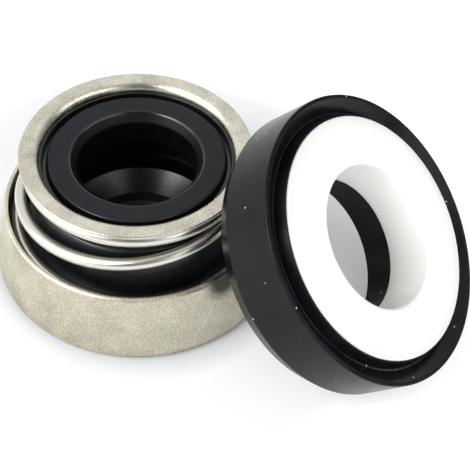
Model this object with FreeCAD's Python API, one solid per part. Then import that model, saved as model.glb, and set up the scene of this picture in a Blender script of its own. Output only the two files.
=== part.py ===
import FreeCAD, Part
import math
import os

# Component mechanical seal: a rubber bellows head with one spring, standing on its sealing face,
# and a stationary ceramic seat that leans against it. Millimetres. The head's axis is Z through the
# origin and the sealing face is at height zero.

# Shaft that both halves fit
shaft_diameter = 12.0
shaft_radius = shaft_diameter / 2
neck_grip = 0.17
face_shaft_clearance = 0.5
seat_shaft_clearance = 0.74

# Retainer shell, a drawn cup that widens towards the sealing side
shell_sheet = 0.45
shell_bottom = 0.25
shell_rim_above_shoulder = 2.38
shell_flare = 1.33
shell_corner_radius = 0.42
shell_inner_corner_radius = 0.1
shell_rim_edge = 0.08
shell_rim_roll = 0.3
shell_spring_clearance = 0.25
shell_lip_clearance = 0.6

# Face ring
face_nose_step = 1.3
face_body_thickness = 1.7
face_edge = 0.2

# Bellows
neck_wall = 2.68
neck_length = 2.5
neck_dish = 0.1
neck_lip_edge = 0.22
neck_mouth_chamfer = 0.65
neck_groove_width = 0.79
neck_groove_depth = 0.95
neck_groove_slope = 0.12
neck_groove_round = 0.2
neck_bore_flare = 0.5
neck_bore_flare_height = 0.4
fold_length = 5.47
fold_top_rise = 0.3
fold_top_overhang = 0.75
fold_roof = 1.55
fold_slope_length = 2.55
fold_overhang = 1.35
fold_wall = 1.2
fold_round = 0.5
fold_foot_round = 0.3
web_thickness = 2.08
web_shaft_clearance = 2.4
cup_wall = 1.47
cup_floor = 0.8
nose_clearance = 0.15

# Drive ring
collar_sheet = 0.35
collar_above_neck = 0.85
collar_flange_width = 1.0
collar_throat_width = 0.9
collar_throat_round = 0.3
collar_fold_clearance = 0.25
collar_edge = 0.08

# Spring
wire_diameter = 1.25
spring_sleeve_clearance = 0.18
spring_fold_clearance = 0.67
spring_flange_gap = 0.25
spring_foot_gap = 0.02
spring_dead_turn = 280.0
spring_active_turn = 380.0
spring_foot_turn = 290.0
spring_departure_azimuth = 60.0
spring_blend_turn = 50.0
spring_cone_turn = 330.0

# Stationary seat, measured from its front face back along its own axis
ceramic_width = 4.6
ceramic_proud = 0.4
ceramic_thickness = 4.9
ceramic_edge = 0.15
ceramic_bore_edge = 0.25
seat_cup_wall = 2.22
seat_web = 3.95
seat_rear_hole_clearance = 1.87
seat_rim_edge = 0.12
seat_rim_width = 0.35
seat_groove_depth = 1.0
seat_groove_offset = 0.6
seat_lip_proud = 0.12
seat_lip_width = 0.18
seat_land_height = 1.7
seat_land_drop = 0.88
seat_chamfer_height = 1.66
seat_chamfer_angle = 47.39

# Where the seat stands: it lies on its rear chamfer and leans on the drive ring
seat_azimuth = -21.8
seat_place_azimuth = -20.52
seat_floor_gap = 0.02
seat_lean_gap = 0.03

# Radii that follow, from the shaft outwards
wire_radius = wire_diameter / 2
neck_bore_radius = shaft_radius - neck_grip
neck_lip_radius = neck_bore_radius + neck_wall
sleeve_inner_radius = neck_lip_radius + neck_groove_width
sleeve_outer_radius = sleeve_inner_radius + collar_sheet
throat_radius = sleeve_inner_radius + collar_throat_width
flange_radius = throat_radius + collar_flange_width
fold_top_radius = sleeve_inner_radius + fold_top_overhang
fold_outer_radius = sleeve_inner_radius + fold_overhang
fold_inner_radius = fold_outer_radius - fold_wall
spring_top_radius = sleeve_outer_radius + spring_sleeve_clearance + wire_radius
spring_bottom_radius = fold_outer_radius + spring_fold_clearance + wire_radius
shell_rim_inner_radius = spring_bottom_radius + wire_radius + shell_spring_clearance
shell_base_inner_radius = shell_rim_inner_radius + shell_flare

# Heights that follow, from the sealing face up
lip_top = shell_bottom + shell_sheet
face_step_height = lip_top + cup_floor
face_back_height = face_step_height + face_body_thickness
shoulder_height = face_back_height + web_thickness
shell_height = shoulder_height + shell_rim_above_shoulder
fold_top_height = shoulder_height + fold_length
fold_middle_height = fold_top_height - fold_slope_length
neck_underside = fold_top_height - fold_roof
neck_bore_bottom = neck_underside + neck_bore_flare_height
neck_top = fold_top_height + neck_length
groove_bottom = neck_top - neck_groove_depth
collar_top = neck_top + collar_above_neck
flange_underside = collar_top - collar_sheet
throat_foot = collar_top - collar_throat_width
sleeve_bottom = fold_top_height + fold_top_rise + collar_fold_clearance
spring_top = flange_underside - spring_flange_gap - wire_radius
spring_foot = shoulder_height + spring_foot_gap + wire_radius


def rounded_outline(corners):
    """Closed outline in the XZ plane from (radius, height, corner rounding)."""
    count = len(corners)
    entries = []
    for index in range(count):
        radius, height, rounding = corners[index]
        here = FreeCAD.Vector(radius, 0, height)
        before = corners[index - 1]
        after = corners[(index + 1) % count]
        to_before = FreeCAD.Vector(before[0], 0, before[1]) - here
        to_after = FreeCAD.Vector(after[0], 0, after[1]) - here
        to_before.normalize()
        to_after.normalize()
        if rounding == 0:
            entries.append((here, here, here))
            continue
        half_angle = to_before.getAngle(to_after) / 2
        setback = rounding / math.tan(half_angle)
        bisector = to_before + to_after
        bisector.normalize()
        middle = here + bisector * (rounding / math.sin(half_angle) - rounding)
        entries.append((here + to_before * setback, middle, here + to_after * setback))
    edges = []
    for index in range(count):
        start, middle, end = entries[index]
        if start.distanceToPoint(end) > 1e-6:
            edges.append(Part.Arc(start, middle, end).toShape())
        following = entries[(index + 1) % count][0]
        if end.distanceToPoint(following) > 1e-6:
            edges.append(Part.makeLine(end, following))
    return Part.Wire(edges)


def turned(corners):
    """Solid ring turned about the Z axis from its half section."""
    face = Part.Face(rounded_outline(corners))
    return face.revolve(FreeCAD.Vector(0, 0, 0), FreeCAD.Vector(0, 0, 1), 360)


def eased(turn, start, length, blend):
    """Share of a steady drop done at a turn angle, with a soft start and a soft stop."""
    along = min(max((turn - start) / length, 0.0), 1.0)
    soft = blend / length
    steady = 1.0 / (1.0 - soft)
    if along < soft:
        return steady * along * along / (2 * soft)
    if along > 1.0 - soft:
        left = 1.0 - along
        return 1.0 - steady * left * left / (2 * soft)
    return steady * (along - soft / 2)


# Retainer shell
shell_taper = shell_flare / (shell_height - lip_top)


def shell_inner_radius(height):
    """Inside radius of the tapered wall at a height."""
    return shell_rim_inner_radius + shell_taper * (shell_height - height)


face_body_radius = shell_inner_radius(face_back_height) - cup_wall
face_nose_radius = face_body_radius - face_nose_step
face_bore_radius = shaft_radius + face_shaft_clearance
web_inner_radius = shaft_radius + web_shaft_clearance
shell_lip_inner_radius = face_nose_radius + shell_lip_clearance
retainer_shell = turned([
    (shell_lip_inner_radius, shell_bottom, shell_rim_edge),
    (shell_inner_radius(shell_bottom) + shell_sheet, shell_bottom, shell_corner_radius),
    (shell_rim_inner_radius + shell_sheet, shell_height, shell_rim_roll),
    (shell_rim_inner_radius, shell_height, shell_rim_edge),
    (shell_base_inner_radius, lip_top, shell_inner_corner_radius),
    (shell_lip_inner_radius, lip_top, shell_rim_edge),
])

# Face ring with its raised sealing nose and a wide chamfer round the back of its bore
face_ring = turned([
    (face_bore_radius, 0, 0),
    (face_nose_radius, 0, face_edge),
    (face_nose_radius, face_step_height, 0),
    (face_body_radius, face_step_height, face_edge),
    (face_body_radius, face_back_height, 0),
    (web_inner_radius, face_back_height, 0),
    (face_bore_radius, face_back_height - web_inner_radius + face_bore_radius, 0),
])

# Bellows: neck, fold and the cup that holds the face ring
rubber_nose_radius = face_nose_radius + nose_clearance
bellows = turned([
    (neck_bore_radius, neck_bore_bottom, 0),
    (neck_bore_radius, neck_top - neck_mouth_chamfer, 0),
    (neck_bore_radius + neck_mouth_chamfer, neck_top - neck_dish, neck_lip_edge),
    (neck_lip_radius, neck_top, neck_lip_edge),
    (neck_lip_radius + neck_groove_slope, groove_bottom, neck_groove_round),
    (sleeve_inner_radius, groove_bottom, 0),
    (sleeve_inner_radius, fold_top_height + fold_top_rise, 0),
    (fold_top_radius, fold_top_height, fold_foot_round),
    (fold_outer_radius, fold_middle_height, fold_round),
    (fold_outer_radius, shoulder_height, fold_foot_round),
    (shell_inner_radius(shoulder_height), shoulder_height, 0),
    (shell_base_inner_radius, lip_top, shell_inner_corner_radius),
    (rubber_nose_radius, lip_top, 0),
    (rubber_nose_radius, face_step_height, 0),
    (face_body_radius, face_step_height, face_edge),
    (face_body_radius, face_back_height, 0),
    (web_inner_radius, face_back_height, 0),
    (web_inner_radius, shoulder_height, fold_foot_round),
    (fold_inner_radius, shoulder_height + fold_round, fold_round),
    (fold_inner_radius, neck_underside, fold_round),
    (neck_bore_radius + neck_bore_flare, neck_underside, 0),
])

# Drive ring: flat flange, conical throat and the sleeve round the neck
sheet_offset = collar_sheet * math.tan(math.radians(22.5))
drive_ring = turned([
    (sleeve_inner_radius, sleeve_bottom, collar_edge),
    (sleeve_outer_radius, sleeve_bottom, collar_edge),
    (sleeve_outer_radius, throat_foot - sheet_offset, collar_throat_round),
    (throat_radius + sheet_offset, flange_underside, collar_throat_round),
    (flange_radius, flange_underside, collar_edge),
    (flange_radius, collar_top, collar_edge),
    (throat_radius, collar_top, collar_throat_round),
    (sleeve_inner_radius, throat_foot, collar_throat_round),
])

# Spring: closed top coil, one working turn, closed foot coil on the rubber shoulder
spring_turn = spring_dead_turn + spring_active_turn + spring_foot_turn


def wire_centre(turn):
    """Centre of the spring wire at a turn angle counted from the top end."""
    drop = eased(turn, spring_dead_turn, spring_active_turn, spring_blend_turn)
    widening = eased(turn, spring_dead_turn, spring_cone_turn, spring_blend_turn)
    radius = spring_top_radius + (spring_bottom_radius - spring_top_radius) * widening
    azimuth = math.radians(spring_departure_azimuth + spring_dead_turn - turn)
    height = spring_top + (spring_foot - spring_top) * drop
    return FreeCAD.Vector(radius * math.cos(azimuth), radius * math.sin(azimuth), height)


path_steps = 76
path_points = [wire_centre(spring_turn * step / path_steps) for step in range(path_steps + 1)]
wire_path = Part.BSplineCurve()
wire_path.interpolate(path_points)
path_start = wire_path.tangent(wire_path.FirstParameter)[0]
wire_section = Part.Wire([Part.makeCircle(wire_radius, path_points[0], path_start)])
spring = Part.Wire([wire_path.toShape()]).makePipeShell([wire_section], True, True)

# Stationary seat, turned about Z and then tipped into its leaning place
lean = math.radians(seat_chamfer_angle)
ceramic_bore_radius = shaft_radius + seat_shaft_clearance
ceramic_outer_radius = ceramic_bore_radius + ceramic_width
ceramic_back = ceramic_thickness - ceramic_proud
seat_outer_radius = ceramic_outer_radius + seat_cup_wall
seat_rear_hole_radius = shaft_radius + seat_rear_hole_clearance
seat_depth = ceramic_back + seat_web
seat_land_depth = seat_depth - seat_chamfer_height
seat_wall_depth = seat_land_depth - seat_land_height
seat_land_radius = seat_outer_radius - seat_land_drop
seat_rear_radius = seat_land_radius - seat_chamfer_height * math.tan(lean)
seat_cup = turned([
    (seat_rear_hole_radius, -ceramic_back, 0),
    (seat_rear_hole_radius, -seat_depth, seat_rim_edge),
    (seat_rear_radius, -seat_depth, seat_rim_edge),
    (seat_land_radius, -seat_land_depth, seat_rim_edge),
    (seat_outer_radius, -seat_wall_depth, seat_rim_edge),
    (seat_outer_radius, 0, seat_rim_edge),
    (seat_outer_radius - seat_rim_width, 0, seat_rim_edge),
    (ceramic_outer_radius + seat_groove_offset, -seat_groove_depth, seat_rim_edge),
    (ceramic_outer_radius + seat_lip_width, seat_lip_proud, 0),
    (ceramic_outer_radius, seat_lip_proud, 0),
    (ceramic_outer_radius, -ceramic_back, 0),
])
seat_ring = turned([
    (ceramic_bore_radius, -ceramic_back, ceramic_bore_edge),
    (ceramic_outer_radius, -ceramic_back, 0),
    (ceramic_outer_radius, ceramic_proud, ceramic_edge),
    (ceramic_bore_radius, ceramic_proud, ceramic_bore_edge),
])
seat_height = seat_land_depth * math.sin(lean) + seat_land_radius * math.cos(lean) + seat_floor_gap
flange_reach = flange_radius * math.cos(lean) + collar_top * math.sin(lean)
seat_reach = flange_reach + seat_depth + seat_lean_gap - seat_height * math.sin(lean)
sideways = math.radians(seat_place_azimuth - seat_azimuth)
seat_distance = seat_reach / (math.cos(lean) * math.cos(sideways))
seat_direction = math.radians(seat_place_azimuth)
seat_front_centre = FreeCAD.Vector(
    seat_distance * math.cos(seat_direction), seat_distance * math.sin(seat_direction), seat_height)
turn_round = FreeCAD.Rotation(FreeCAD.Vector(0, 0, 1), seat_azimuth)
tip_over = FreeCAD.Rotation(FreeCAD.Vector(0, 1, 0), 90 - seat_chamfer_angle)
seat_place = FreeCAD.Placement(seat_front_centre, turn_round.multiply(tip_over))
seat_cup.Placement = seat_place
seat_ring.Placement = seat_place

nodes = {
    "retainer_shell": retainer_shell,
    "face_ring": face_ring,
    "bellows": bellows,
    "spring": spring,
    "drive_ring": drive_ring,
    "seat_cup": seat_cup,
    "seat_ring": seat_ring,
}
os.makedirs("parts", exist_ok=True)
for name, shape in nodes.items():
    shape.exportStep("parts/" + name + ".step")
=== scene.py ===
import math

import bpy
from mathutils import Matrix, Vector


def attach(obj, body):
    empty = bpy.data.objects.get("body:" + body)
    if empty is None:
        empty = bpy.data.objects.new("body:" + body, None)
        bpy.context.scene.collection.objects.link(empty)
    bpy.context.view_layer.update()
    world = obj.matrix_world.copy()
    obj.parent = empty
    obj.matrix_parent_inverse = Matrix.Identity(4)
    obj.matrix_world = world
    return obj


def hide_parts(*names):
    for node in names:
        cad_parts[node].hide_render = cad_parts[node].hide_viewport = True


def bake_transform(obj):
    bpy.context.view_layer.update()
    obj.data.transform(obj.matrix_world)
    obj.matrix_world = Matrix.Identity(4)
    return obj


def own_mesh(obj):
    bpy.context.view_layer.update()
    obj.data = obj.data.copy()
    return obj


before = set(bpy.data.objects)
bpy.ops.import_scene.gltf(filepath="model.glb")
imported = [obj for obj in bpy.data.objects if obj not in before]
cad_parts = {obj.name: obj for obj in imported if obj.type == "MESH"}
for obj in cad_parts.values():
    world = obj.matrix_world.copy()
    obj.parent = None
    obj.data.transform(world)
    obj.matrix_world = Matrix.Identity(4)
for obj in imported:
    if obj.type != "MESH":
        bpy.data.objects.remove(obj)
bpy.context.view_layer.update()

MM = 0.001      # outlines and the spring's path are in mm, all else is in metres


# ---------------------------------------------------------------- node helpers
# Sockets of the Mix node that carry its factor and its colours
MIX_FACTOR, MIX_FIRST, MIX_SECOND, MIX_RESULT = 0, 6, 7, 2
NOISE_ROUGHNESS = 0.55


class Graph:
    """The node tree of a material or world, with a short call for each kind of node used here."""

    def __init__(self, owner):
        owner.use_nodes = True
        self.nodes, self.links = owner.node_tree.nodes, owner.node_tree.links
        self.nodes.clear()

    def add(self, kind, inputs=None, **settings):
        """A new node. Each of its inputs is given as a value, or as the output that feeds it."""
        node = self.nodes.new(kind)
        for name, value in settings.items():
            setattr(node, name, value)
        for key, value in (inputs or {}).items():
            socket = node.inputs[key]
            if isinstance(value, bpy.types.NodeSocket):
                self.links.new(value, socket)
            elif socket.type == "RGBA":
                socket.default_value = (*value, 1)
            else:
                socket.default_value = value
        return node

    def math(self, operation, first, second):
        return self.add("ShaderNodeMath", {0: first, 1: second}, operation=operation).outputs[0]

    def vector_math(self, operation, *vectors):
        node = self.add("ShaderNodeVectorMath", dict(enumerate(vectors)), operation=operation)
        return node.outputs["Value"]

    def noise(self, place, scale, detail=4.0):
        inputs = {"Vector": place, "Scale": scale, "Detail": detail, "Roughness": NOISE_ROUGHNESS}
        return self.add("ShaderNodeTexNoise", inputs).outputs["Fac"]

    def mapped(self, value, low, high, new_low, new_high):
        """The value carried over from the range low to high to the new range, and held at its ends."""
        inputs = dict(enumerate((value, low, high, new_low, new_high)))
        return self.add("ShaderNodeMapRange", inputs).outputs["Result"]

    def mixed(self, factor, first, second):
        inputs = {MIX_FACTOR: factor, MIX_FIRST: first, MIX_SECOND: second}
        return self.add("ShaderNodeMix", inputs, data_type="RGBA").outputs[MIX_RESULT]


# ---------------------------------------------------------------- finishes
# Values of the noise at which the colour and the gloss reach their two ends
COLOUR_RANGE, GLOSS_RANGE = (0.35, 0.65), (0.3, 0.7)
SPECK_SIZE, SPECK_RARITY, SPECK_COLOUR = 0.12, 0.92, (0.55, 0.55, 0.55)
# Painted shade: how dark the patch gets, where its full darkness ends as a share of its reach, and how
# ragged its edge is
PAINTED_SHADE_STRENGTH, PAINTED_SHADE_CORE, PAINTED_SHADE_RAGGEDNESS = 0.93, 0.55, 0.9 * MM
SCATTER = {"Subsurface Weight": 0.5, "Subsurface Radius": (1.0, 0.95, 0.85)}


def with_specks(graph, place, colour, density):
    """Adds pale dust, on a few of the cells of a Voronoi pattern."""
    cells = graph.add("ShaderNodeTexVoronoi", {"Vector": place, "Scale": density})
    near = graph.math("LESS_THAN", cells.outputs["Distance"], SPECK_SIZE)
    parts = graph.add("ShaderNodeSeparateColor", {0: cells.outputs["Color"]})
    chosen = graph.math("GREATER_THAN", parts.outputs[0], SPECK_RARITY)
    return graph.mixed(graph.math("MULTIPLY", near, chosen), colour, SPECK_COLOUR)


def with_painted_shade(graph, place, fine, colour, spot, reach, painted_shade_colour):
    """Adds painted shade round a spot: a dark patch standing in for a shadow and a dark reflection,
    with its edge broken up by the fine grain.
    """
    away = graph.vector_math("DISTANCE", place, spot)
    ragged = graph.math("ADD", away, graph.math("MULTIPLY", fine, PAINTED_SHADE_RAGGEDNESS))
    painted_shade_mask = graph.mapped(ragged, reach * PAINTED_SHADE_CORE, reach, PAINTED_SHADE_STRENGTH, 0)
    return graph.mixed(painted_shade_mask, colour, painted_shade_colour)


def surface(name, dark, light, rough, metallic=0.0, specular=0.5, patch=350.0, grain=4500.0,
            grain_depth=0.02 * MM, grain_strength=0.25, stretch=(1, 1, 1), coordinate="Object",
            specks=0.0, depth_of_light=0.0, fine_share=0.4, painted_shade=None):
    """A procedural surface: patchy colour and gloss, with a fine grain in relief."""
    material = bpy.data.materials.new(name)
    graph = Graph(material)
    place = graph.add("ShaderNodeTexCoord").outputs[coordinate]
    place = graph.add("ShaderNodeMapping", {"Vector": place, "Scale": stretch}).outputs["Vector"]
    patches = graph.noise(place, patch)
    fine = graph.noise(place, grain, detail=2.0)
    tone = graph.math("ADD", graph.math("MULTIPLY", patches, 1 - fine_share),
                      graph.math("MULTIPLY", fine, fine_share))
    colour = graph.mixed(graph.mapped(tone, *COLOUR_RANGE, 0, 1), dark, light)
    if specks:
        colour = with_specks(graph, place, colour, specks)
    # Painted shade, where a look gives one
    if painted_shade:
        colour = with_painted_shade(graph, place, fine, colour, **painted_shade)
    relief = graph.add("ShaderNodeBump", {"Strength": grain_strength, "Distance": grain_depth,
                                          "Height": fine})
    inputs = {"Base Color": colour, "Roughness": graph.mapped(patches, *GLOSS_RANGE, *rough),
              "Metallic": metallic, "Specular IOR Level": specular, "Normal": relief.outputs["Normal"]}
    if depth_of_light:
        inputs |= SCATTER | {"Subsurface Scale": depth_of_light}
    shader = graph.add("ShaderNodeBsdfPrincipled", inputs)
    graph.add("ShaderNodeOutputMaterial", {"Surface": shader.outputs[0]})
    return material


LOOKS = {
    "shell_steel": dict(
        dark=(0.412, 0.382, 0.296), light=(0.872, 0.820, 0.670), rough=(0.38, 0.48), metallic=1.0,
        grain=8500.0, grain_depth=0.03 * MM, grain_strength=0.5, fine_share=0.72,
        # painted shade: a dark patch under the rim by the seat stands in for the seat's shadow and its
        # dark reflection in the steel
        painted_shade=dict(spot=(0.0092, -0.00975, 0.0072), reach=0.0028, painted_shade_colour=(0.05, 0.055, 0.05))),
    "collar_steel": dict(
        dark=(0.405, 0.388, 0.320), light=(0.935, 0.902, 0.775), rough=(0.24, 0.34), metallic=1.0,
        grain=8500.0, fine_share=0.6),
    "spring_steel": dict(
        dark=(0.65, 0.63, 0.56), light=(0.85, 0.82, 0.755), rough=(0.22, 0.32), metallic=1.0,
        patch=6.0, grain=30.0, grain_depth=0.01 * MM, stretch=(40, 1, 1), coordinate="UV"),
    "bellows_rubber": dict(
        dark=(0.003, 0.0032, 0.004), light=(0.006, 0.0064, 0.008), rough=(0.15, 0.24), specular=0.65,
        grain_depth=0.006 * MM),
    # painted shade: a darker, duller rubber for the bore and the inside of the fold
    "bore_rubber_painted_shade": dict(
        dark=(0.0012, 0.0012, 0.0016), light=(0.0022, 0.0022, 0.0028), rough=(0.50, 0.60), specular=0.1,
        grain_depth=0.012 * MM),
    "neck_rubber": dict(
        dark=(0.006, 0.0078, 0.0100), light=(0.011, 0.0135, 0.0165), rough=(0.44, 0.56), specular=0.23,
        grain_depth=0.012 * MM),
    "mouth_rubber": dict(
        dark=(0.003, 0.004, 0.0055), light=(0.006, 0.0075, 0.0095), rough=(0.36, 0.46), specular=0.22,
        grain_depth=0.01 * MM),
    "fold_rubber": dict(
        dark=(0.004, 0.0048, 0.0068), light=(0.008, 0.0094, 0.0125), rough=(0.27, 0.36), specular=0.60,
        grain_depth=0.006 * MM),
    "seat_rubber": dict(
        dark=(0.0020, 0.0026, 0.0038), light=(0.0055, 0.0066, 0.0090), rough=(0.22, 0.32),
        specular=0.20, grain_depth=0.01 * MM, specks=1500.0),
    "carbon": dict(
        dark=(0.003, 0.003, 0.0042), light=(0.007, 0.0066, 0.009), rough=(0.24, 0.30), specular=0.66),
    "seat_ceramic": dict(
        dark=(0.955, 0.942, 0.888), light=(0.965, 0.952, 0.898), rough=(0.29, 0.33),
        grain_depth=0.004 * MM, depth_of_light=3 * MM),
}
finishes = {name: surface(name, **look) for name, look in LOOKS.items()}


# ---------------------------------------------------------------- mesh helpers
ROUNDING_STEPS = 8
SEGMENTS = 192
SHARP_ANGLE = math.radians(32)


def rounded(corners):
    """The closed outline's points, with each corner of (radius, height, rounding) rounded off."""
    points = []
    for index, (radius, height, rounding) in enumerate(corners):
        here = Vector((radius, height))
        if not rounding:
            points.append(here)
            continue
        before = Vector(corners[index - 1][:2]) - here
        after = Vector(corners[(index + 1) % len(corners)][:2]) - here
        half_angle = before.angle(after) / 2
        before.normalize()
        after.normalize()
        cut = rounding / math.tan(half_angle)
        centre = here + (before + after).normalized() * rounding / math.sin(half_angle)
        first, last = here + before * cut - centre, here + after * cut - centre
        sweep = first.angle_signed(last)
        for step in range(ROUNDING_STEPS + 1):
            turn = Matrix.Rotation(-sweep * step / ROUNDING_STEPS, 2)
            points.append(centre + turn @ first)
    return points


def make_object(name, vertices, faces, uvs=None):
    mesh = bpy.data.meshes.new(name)
    mesh.from_pydata([tuple(vertex) for vertex in vertices], [], faces)
    if uvs:
        layer = mesh.uv_layers.new(name="along")
        for loop in mesh.loops:
            layer.data[loop.index].uv = uvs[loop.vertex_index]
    mesh.shade_smooth()
    mesh.set_sharp_from_angle(angle=SHARP_ANGLE)
    mesh.update()
    thing = bpy.data.objects.new(name, mesh)
    bpy.context.scene.collection.objects.link(thing)
    return thing


def turned(name, corners):
    """A closed outline turned about Z."""
    outline = rounded(corners)
    count = len(outline)
    vertices, faces = [], []
    for turn in range(SEGMENTS):
        azimuth = 2 * math.pi * turn / SEGMENTS
        vertices += [(radius * math.cos(azimuth) * MM, radius * math.sin(azimuth) * MM, height * MM)
                     for radius, height in outline]
        here, ahead = turn * count, (turn + 1) % SEGMENTS * count
        for index in range(count):
            following = (index + 1) % count
            faces.append((here + index, ahead + index, ahead + following, here + following))
    return make_object(name, vertices, faces)


# Radii and heights that the outlines share, in mm
BORE = 5.83
SLEEVE = 9.3            # the collar's sleeve lies on the neck here
NECK_TOP, GROOVE = 13.15, 12.3
FOLD_OUTSIDE, FOLD_INSIDE, FOLD_TOP = 10.65, 9.45, 9.2
SHOULDER, FOOT = 5.28, 0.7
RING_POCKET, RING_TOP, NOSE_STEP = 12.2, 3.2, 1.5
WEB_BORE = 8.4
FLANGE_TOP, FLANGE_BOTTOM, FLANGE_EDGE = 14.1, 13.75, 11.2
SLEEVE_OUTSIDE, SLEEVE_END = 9.65, 11.3


# ---------------------------------------------------------------- bellows
BELLOWS_OUTLINE = [
    # bore, chamfered mouth and dished top of the neck
    (BORE, 9.6, 0), (BORE, 12.2, 0.5), (6.42, NECK_TOP, 0.35), (8.51, 13.25, 0.22),
    # groove round the neck, and the thin flash outside it
    (8.63, GROOVE, 0.2), (9.12, GROOVE, 0.1), (9.16, 13.12, 0.04), (SLEEVE, NECK_TOP, 0),
    # outer side of the neck and fold
    (SLEEVE, 11.05, 0), (10.05, 10.75, 0.3), (FOLD_OUTSIDE, 8.2, 0.5), (FOLD_OUTSIDE, 5.4, 0),
    # shoulder under the spring, and the foot in the shell
    (10.66, SHOULDER, 0), (13.26, SHOULDER, 0), (14.14, FOOT, 0.1), (11.05, FOOT, 0),
    # pocket of the face ring
    (11.05, NOSE_STEP, 0), (RING_POCKET, NOSE_STEP, 0.2),
    (RING_POCKET, RING_TOP, 0), (WEB_BORE, RING_TOP, 0),
    # web and the inside of the fold
    (WEB_BORE, SHOULDER, 0.3), (FOLD_INSIDE, 5.78, 0.5),
    (FOLD_INSIDE, FOLD_TOP, 0.5), (6.33, FOLD_TOP, 0),
]
BELLOWS_FINISHES = ["bellows_rubber", "neck_rubber", "bore_rubber_painted_shade", "fold_rubber", "mouth_rubber"]


def bellows_finish(reach, height):
    """The finish of a face of the moulding, from how far out and how high its middle lies."""
    if height > 13.1 * MM and 6.55 * MM < reach < 8.45 * MM:        # dished top of the neck
        return "neck_rubber"
    if height > 12.15 * MM and reach < 6.3 * MM:                    # chamfered mouth
        return "mouth_rubber"
    below_collar = height < 11 * MM
    # painted shade: the bore and the inside of the fold take the darker, duller rubber
    if reach < 5.9 * MM or below_collar and reach < 9.5 * MM:       # bore and inside of the fold
        return "bore_rubber_painted_shade"
    return "fold_rubber" if below_collar else "bellows_rubber"


bellows = turned("bellows_moulding", BELLOWS_OUTLINE)
for name in BELLOWS_FINISHES:
    bellows.data.materials.append(finishes[name])
for face in bellows.data.polygons:
    finish = bellows_finish(math.hypot(face.center.x, face.center.y), face.center.z)
    face.material_index = BELLOWS_FINISHES.index(finish)
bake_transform(bellows)
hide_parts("bellows")


# ---------------------------------------------------------------- drive ring
collar = turned("drive_collar", [
    (SLEEVE, SLEEVE_END, 0.08), (SLEEVE, FLANGE_TOP, 0.9), (FLANGE_EDGE, FLANGE_TOP, 0.12),
    (FLANGE_EDGE, FLANGE_BOTTOM, 0.12), (SLEEVE_OUTSIDE, FLANGE_BOTTOM, 0.55),
    (SLEEVE_OUTSIDE, SLEEVE_END, 0.08),
])
collar.data.materials.append(finishes["collar_steel"])
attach(collar, "collar")
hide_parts("drive_ring")


# ---------------------------------------------------------------- spring
# The wire's path, in mm and in degrees from its top end: a flat coil, an open turn and a flat coil
TOP_COIL, OPEN_TURN, FOOT_COIL, EASE = 280, 380, 290, 50
WIRE_END = TOP_COIL + OPEN_TURN + FOOT_COIL
OPEN_TURN_AZIMUTH = 60
TOP_RADIUS, FOOT_RADIUS, MEAN_RADIUS = 10.455, 12.15, 11.2
TOP_HEIGHT, FOOT_HEIGHT = 12.875, 5.925
WIRE_RADIUS, END_CHAMFER = 0.625, 0.06
WIRE_STEPS, WIRE_SIDES = 560, 28
TANGENT_STEP = 0.05     # degrees to each side of a station, between which the wire's direction is taken
UV_LENGTH = 30          # mm of wire along one unit of the UV map


def eased(turn, start, length, blend):
    """0 before start and 1 after start + length, straight between, with both bends eased."""
    def ramp(value):
        if value <= 0:
            return 0.0
        if value < blend:
            return value * value / (2 * blend)
        return value - blend / 2
    return (ramp(turn - start) - ramp(turn - start - length + blend)) / (length - blend)


def wire_centre(turn):
    descent = eased(turn, TOP_COIL, OPEN_TURN, EASE)
    radius = TOP_RADIUS + (FOOT_RADIUS - TOP_RADIUS) * descent
    azimuth = math.radians(OPEN_TURN_AZIMUTH + TOP_COIL - turn)
    return Vector((radius * math.cos(azimuth), radius * math.sin(azimuth),
                   TOP_HEIGHT + (FOOT_HEIGHT - TOP_HEIGHT) * descent))


def spring_mesh():
    """Rings of points round the wire's path, with a small chamfer and a flat cap at both ends."""
    chamfer_turn = END_CHAMFER * WIRE_END / (math.radians(WIRE_END) * MEAN_RADIUS)
    stations = [(0.0, WIRE_RADIUS - END_CHAMFER), (chamfer_turn, WIRE_RADIUS)]
    stations += [(WIRE_END * step / WIRE_STEPS, WIRE_RADIUS) for step in range(1, WIRE_STEPS)]
    stations += [(WIRE_END - chamfer_turn, WIRE_RADIUS), (WIRE_END, WIRE_RADIUS - END_CHAMFER)]
    vertices, faces, uvs = [], [], []
    for turn, thickness in stations:
        centre = wire_centre(turn)
        before, after = max(turn - TANGENT_STEP, 0), min(turn + TANGENT_STEP, WIRE_END)
        along = (wire_centre(after) - wire_centre(before)).normalized()
        outward = Vector((centre.x, centre.y, 0)).normalized()
        up = along.cross(outward).normalized()
        outward = up.cross(along).normalized()
        for side in range(WIRE_SIDES):
            angle = 2 * math.pi * side / WIRE_SIDES
            point = centre + (outward * math.cos(angle) + up * math.sin(angle)) * thickness
            vertices.append(point * MM)
            uvs.append((side / WIRE_SIDES, math.radians(turn) * MEAN_RADIUS / UV_LENGTH))
    for ring in range(len(stations) - 1):
        here, ahead = ring * WIRE_SIDES, (ring + 1) * WIRE_SIDES
        for side in range(WIRE_SIDES):
            other = (side + 1) % WIRE_SIDES
            faces.append((here + side, here + other, ahead + other, ahead + side))
    last_ring = (len(stations) - 1) * WIRE_SIDES
    faces.append(tuple(range(WIRE_SIDES)))
    faces.append(tuple(last_ring + side for side in reversed(range(WIRE_SIDES))))
    return make_object("coil_spring", vertices, faces, uvs)


spring = spring_mesh()
spring.data.materials.append(finishes["spring_steel"])
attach(spring, "head_and_seat")
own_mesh(spring)
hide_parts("spring")


# ---------------------------------------------------------------- CAD nodes' finishes
NODE_FINISHES = {
    "retainer_shell": "shell_steel",
    "face_ring": "carbon",
    "drive_ring": "collar_steel",
    "seat_cup": "seat_rubber",
    "seat_ring": "seat_ceramic",
    "bellows": "bellows_rubber",
    "spring": "spring_steel",
}
for node, finish in NODE_FINISHES.items():
    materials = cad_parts[node].data.materials
    materials.clear()
    materials.append(finishes[finish])


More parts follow.
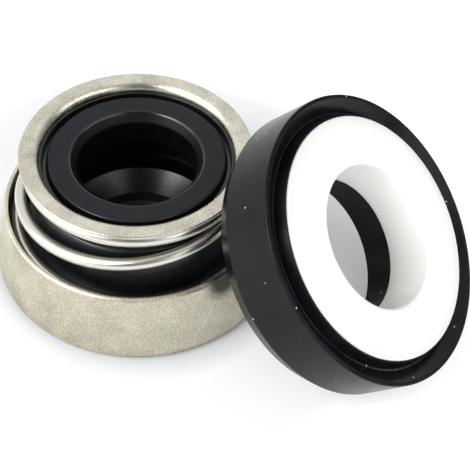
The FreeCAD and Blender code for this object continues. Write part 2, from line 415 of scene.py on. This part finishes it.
# ---------------------------------------------------------------- floor
FLOOR_CORNERS = [(-1.5, -1.5, 0), (1.5, -1.5, 0), (1.5, 1.5, 0), (-1.5, 1.5, 0)]
CLOUD_SCALE = 60.0
# Darkest and lightest white of the floor, as each kind of ray finds it
FLOOR_SEEN = (0.68, 0.69, 0.70), (0.70, 0.71, 0.72)
FLOOR_MIRRORED = (0.56, 0.565, 0.57), (0.58, 0.585, 0.59)
FLOOR_LIGHTING = (0.91, 0.92, 0.93), (0.93, 0.94, 0.95)
# Painted shade: the grey that the camera sees on the floor inside the head's bore
FLOOR_PAINTED_SHADE_IN_BORE = (0.14, 0.14, 0.145)
# Distances from the head's axis between which each change takes place, and for a glow its two values
BORE_EDGE = 0.0065, 0.008
# Painted light: the near and far glows whiten the floor more the further it lies from the head, so the
# floor by the head stays darker as painted shade
NEAR_GLOW = 0.0148, 0.0175, 0, 0.24
FAR_GLOW = 0.026, 0.034, 0, 0.34
HORIZON_GLOW = 0.06, 0.30, 0, 0.40


def make_floor():
    """White to the camera and in reflections, where it keeps the object's shadow; a painted glow
    whitens it away from the head, and painted shade greys it inside the head's bore.
    """
    floor = make_object("floor", FLOOR_CORNERS, [(0, 1, 2, 3)])
    material = bpy.data.materials.new("floor_white")
    graph = Graph(material)
    path = graph.add("ShaderNodeLightPath").outputs
    place = graph.add("ShaderNodeTexCoord").outputs["Object"]
    cloud = graph.noise(place, CLOUD_SCALE)
    distance = graph.vector_math("LENGTH", place)
    unseen = graph.mixed(path["Is Glossy Ray"], graph.mixed(cloud, *FLOOR_LIGHTING),
                         graph.mixed(cloud, *FLOOR_MIRRORED))
    # painted shade: inside the bore's edge the camera sees the floor grey
    outside = graph.mapped(distance, *BORE_EDGE, 0, 1)
    seen = graph.mixed(outside, FLOOR_PAINTED_SHADE_IN_BORE, graph.mixed(cloud, *FLOOR_SEEN))
    colour = graph.mixed(path["Is Camera Ray"], unseen, seen)
    looking = graph.math("MAXIMUM", path["Is Camera Ray"], path["Is Glossy Ray"])
    looking = graph.math("MAXIMUM", looking, path["Is Transmission Ray"])
    # painted light: glow that grows with distance from the head, leaving painted shade on the floor by
    # the head
    around = graph.math("ADD", graph.mapped(distance, *NEAR_GLOW), graph.mapped(distance, *FAR_GLOW))
    horizon = graph.math("MULTIPLY", graph.mapped(distance, *HORIZON_GLOW), path["Is Camera Ray"])
    strength = graph.math("ADD", graph.math("MULTIPLY", looking, around), horizon)
    diffuse = graph.add("ShaderNodeBsdfDiffuse", {"Color": colour})
    glow = graph.add("ShaderNodeEmission", {"Strength": strength})
    total = graph.add("ShaderNodeAddShader", {0: diffuse.outputs[0], 1: glow.outputs[0]})
    graph.add("ShaderNodeOutputMaterial", {"Surface": total.outputs[0]})
    floor.data.materials.append(material)


# ---------------------------------------------------------------- world
DARK_SIDE = (0.0, -0.68, 0.73)          # over the camera, where reflections are dark
FILL_SIDE = (0.38, -0.87, 0.32)         # low in front, where a soft fill light comes from
# Ramps: where each starts and ends, along a side's cosine or an axis, and its value at both
FRONT_DARK = 0.72, 0.93, 0, 1
RIGHT_DARK = 0.45, 0.85, 0, 0.9
FRONT_FILL = 0.72, 0.95, 0, 2.0
SOFT_LIGHT = -0.3, 0.6, 0.16, 0.42
MIRRORED_LIGHT = 0, 1, 0.88, 0.12       # along the darkness of the two dark sides
PLAIN_WHITE, COOL_WHITE = (1.0, 1.0, 1.0), (0.94, 0.975, 1.0)


def make_world():
    """White to the camera, a white sweep with dark sides in reflections, and a dim soft light."""
    world = bpy.data.worlds.new("tent")
    bpy.context.scene.world = world
    graph = Graph(world)
    path = graph.add("ShaderNodeLightPath").outputs
    direction = graph.add("ShaderNodeTexCoord").outputs["Generated"]
    axes = graph.add("ShaderNodeSeparateXYZ", {0: direction}).outputs
    front_dark = graph.mapped(graph.vector_math("DOT_PRODUCT", direction, DARK_SIDE), *FRONT_DARK)
    dark = graph.math("MAXIMUM", front_dark, graph.mapped(axes["X"], *RIGHT_DARK))
    glossy = graph.math("MULTIPLY", path["Is Glossy Ray"], graph.mapped(dark, *MIRRORED_LIGHT))
    clear = graph.math("MAXIMUM", path["Is Camera Ray"], path["Is Transmission Ray"])
    fill = graph.mapped(graph.vector_math("DOT_PRODUCT", direction, FILL_SIDE), *FRONT_FILL)
    around = graph.math("ADD", graph.mapped(axes["Y"], *SOFT_LIGHT), fill)
    soft = graph.math("MULTIPLY", path["Is Diffuse Ray"], around)
    strength = graph.math("MAXIMUM", graph.math("MAXIMUM", glossy, clear), soft)
    colour = graph.mixed(path["Is Diffuse Ray"], PLAIN_WHITE, COOL_WHITE)
    light = graph.add("ShaderNodeBackground", {"Color": colour, "Strength": strength})
    graph.add("ShaderNodeOutputWorld", {"Surface": light.outputs[0]})


# ---------------------------------------------------------------- lamps and camera
LAMP_AIM = Vector((0.005, 0, 0.005))
# Place, width and height in metres, and power in watts
LAMPS = {
    "right_box": ((0.300, -0.134, 0.225), 0.42, 0.30, 0.62),
    "left_box": ((-0.310, -0.130, 0.240), 0.40, 0.34, 0.80),
    "high_box": ((-0.24, -0.175, 0.34), 0.20, 0.20, 0.98),
}
PICTURE = 470                       # the photo's width and height in pixels
FOCAL_LENGTH = 1000                 # in the photo's pixels
OPTICAL_CENTRE = (234.4, 235.3)     # in pixels from the photo's top left corner
SENSOR = 36.0
CLIP_START, CLIP_END = 0.005, 20
CAMERA_PLACE = (0.009871, -0.068566, 0.080938)
CAMERA_RIGHT = (0.99754, 0.052736, 0.046185)
CAMERA_UP = (-0.070101, 0.750433, 0.657218)
CAMERA_BACK = (0, -0.658839, 0.752284)


def make_lamp(name, place, width, height, power):
    data = bpy.data.lights.new(name, "AREA")
    data.shape = "RECTANGLE"
    data.size, data.size_y, data.energy = width, height, power
    lamp = bpy.data.objects.new(name, data)
    lamp.location = place
    lamp.rotation_mode = "QUATERNION"
    lamp.rotation_quaternion = (LAMP_AIM - Vector(place)).to_track_quat("-Z", "Y")
    bpy.context.scene.collection.objects.link(lamp)


def make_camera():
    data = bpy.data.cameras.new("photo_camera")
    data.sensor_width = SENSOR
    data.lens = SENSOR * FOCAL_LENGTH / PICTURE
    data.shift_x = (PICTURE / 2 - OPTICAL_CENTRE[0]) / PICTURE
    data.shift_y = (OPTICAL_CENTRE[1] - PICTURE / 2) / PICTURE
    data.clip_start, data.clip_end = CLIP_START, CLIP_END
    camera = bpy.data.objects.new("photo_camera", data)
    turn = Matrix((CAMERA_RIGHT, CAMERA_UP, CAMERA_BACK)).transposed().to_4x4()
    camera.matrix_world = Matrix.Translation(CAMERA_PLACE) @ turn
    bpy.context.scene.collection.objects.link(camera)
    bpy.context.scene.camera = camera


make_floor()
make_world()
for name, settings in LAMPS.items():
    make_lamp(name, *settings)
make_camera()
bpy.context.scene.view_settings.view_transform = "Standard"
